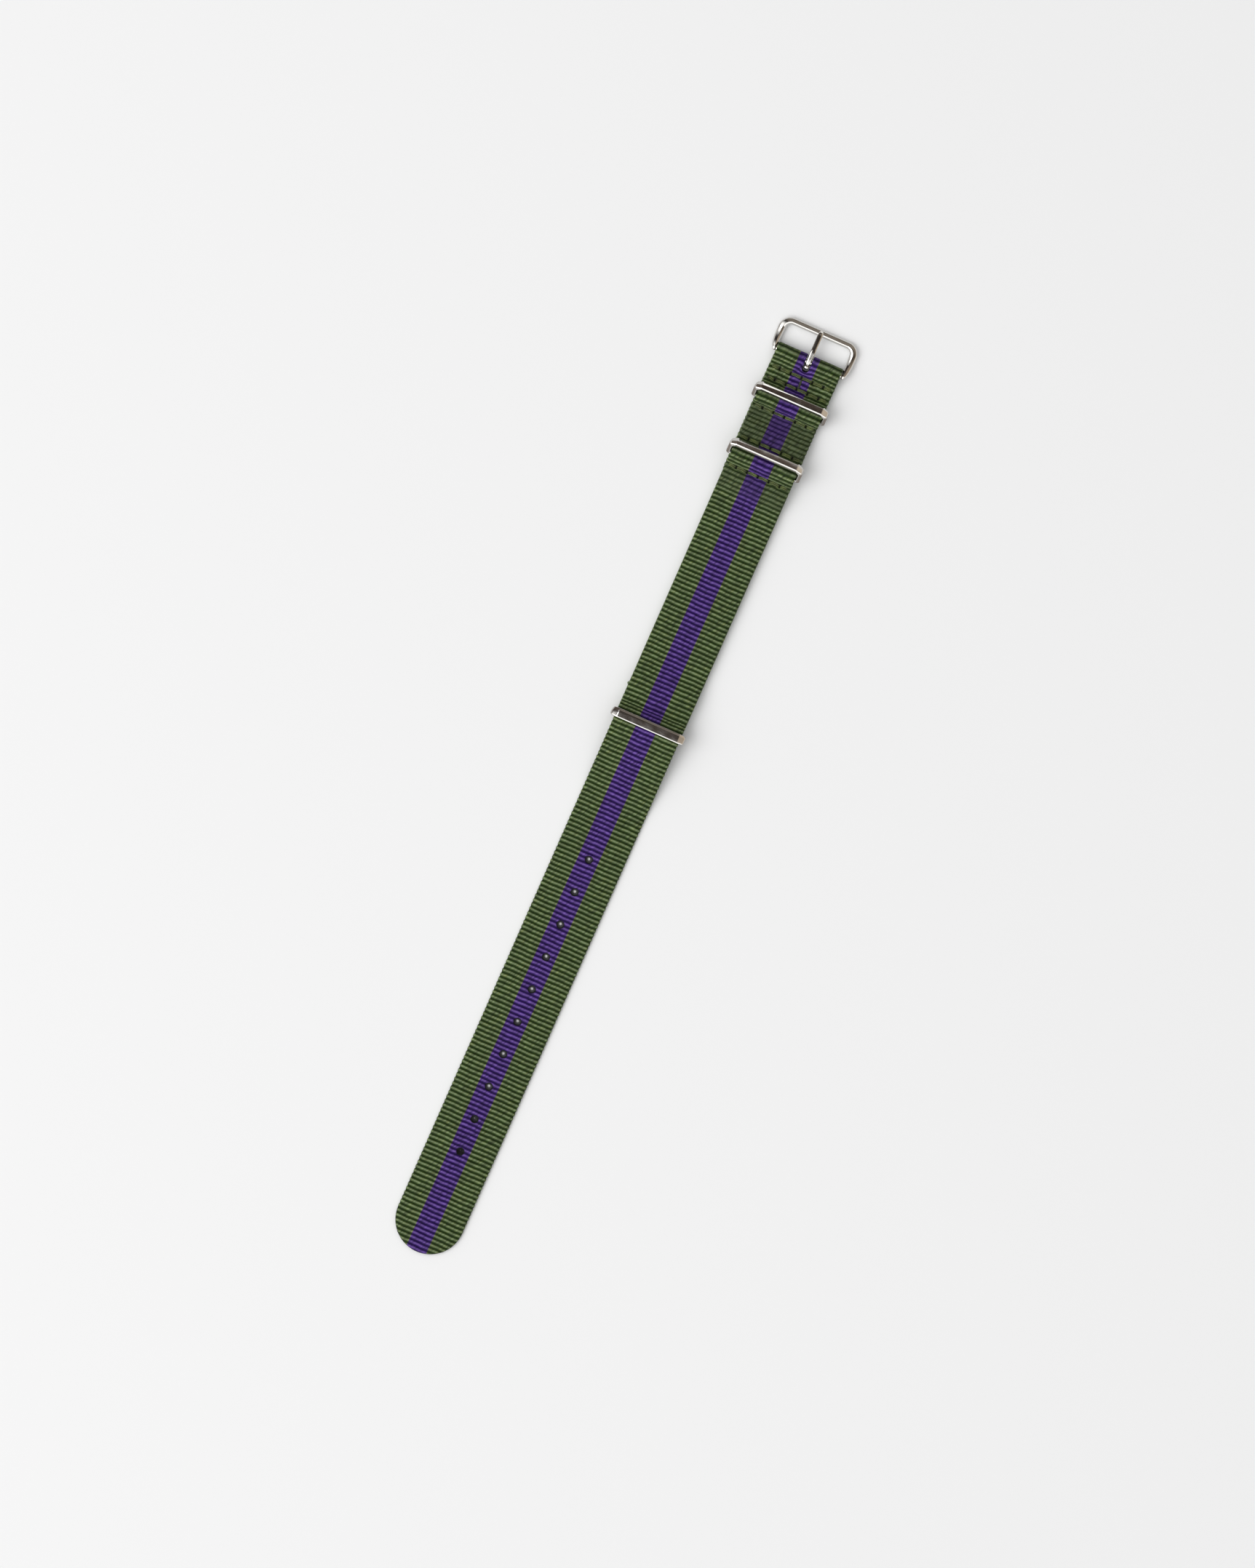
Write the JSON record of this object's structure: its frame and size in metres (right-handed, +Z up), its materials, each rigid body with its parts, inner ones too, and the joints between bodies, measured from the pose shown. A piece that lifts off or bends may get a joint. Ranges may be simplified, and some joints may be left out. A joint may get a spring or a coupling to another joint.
{
  "type": "watch strap",
  "caption": "Flat nylon webbing watch strap with a pin buckle, hinged metal keepers and a sewn-on short strap that runs behind the watch.",
  "frame": {"origin": "on the table, under the middle of the strap's length and width", "axes": "+Y along the strap towards the buckle, +Z up off the table, +X across the strap to the right with the buckle ahead"},
  "size_m": [0.0244, 0.2883, 0.0086],
  "materials": {
    "webbing": "ribbed woven nylon, green with a purple stripe along the middle",
    "thread": "twisted polyester sewing thread, olive",
    "keeper_steel": "polished stainless steel band",
    "buckle_steel": "polished stainless steel bar"
  },
  "bodies": {
    "strap": {"long_strap": "webbing", "short_strap": "webbing", "seam_1_needle_thread": "thread", "seam_1_bobbin_thread": "thread", "tack_needle_thread": "thread", "tack_bobbin_thread": "thread", "seam_2_needle_thread": "thread", "seam_2_bobbin_thread": "thread", "seam_3_needle_thread": "thread", "seam_3_bobbin_thread": "thread", "seam_4_needle_thread": "thread", "seam_4_bobbin_thread": "thread", "seam_5_needle_thread": "thread", "seam_5_bobbin_thread": "thread", "flap_seam_needle_thread": "thread", "flap_seam_bobbin_thread": "thread"},
    "buckle": {"buckle_frame": "buckle_steel", "buckle_pin": "buckle_steel"},
    "tongue": {"buckle_tongue": "buckle_steel"},
    "front_keeper": {"front_keeper": "keeper_steel"},
    "middle_keeper": {"middle_keeper": "keeper_steel"},
    "flap_keeper": {"flap_keeper": "keeper_steel"}
  },
  "joints": [
    {"name": "buckle_swing", "type": "hinge", "parent": "strap", "child": "buckle", "pos_m": [0, 0.1343, 0.0021], "axis": [1, 0, 0], "range_deg": [-60, 45]},
    {"name": "tongue_lift", "type": "hinge", "parent": "buckle", "child": "tongue", "pos_m": [0, 0.1343, 0.0021], "axis": [1, 0, 0], "range_deg": [0, 80]},
    {"name": "front_keeper_lean", "type": "hinge", "parent": "strap", "child": "front_keeper", "pos_m": [0, 0.12016, 0.00245], "axis": [-1, 0, 0], "range_deg": [-95, 35]},
    {"name": "middle_keeper_lean", "type": "hinge", "parent": "strap", "child": "middle_keeper", "pos_m": [0, 0.10221, 0.00369], "axis": [-1, 0, 0], "range_deg": [-100, 30]},
    {"name": "flap_keeper_lean", "type": "hinge", "parent": "strap", "child": "flap_keeper", "pos_m": [0, 0.02041, 0.00245], "axis": [-1, 0, 0], "range_deg": [-15, 40]}
  ]
}
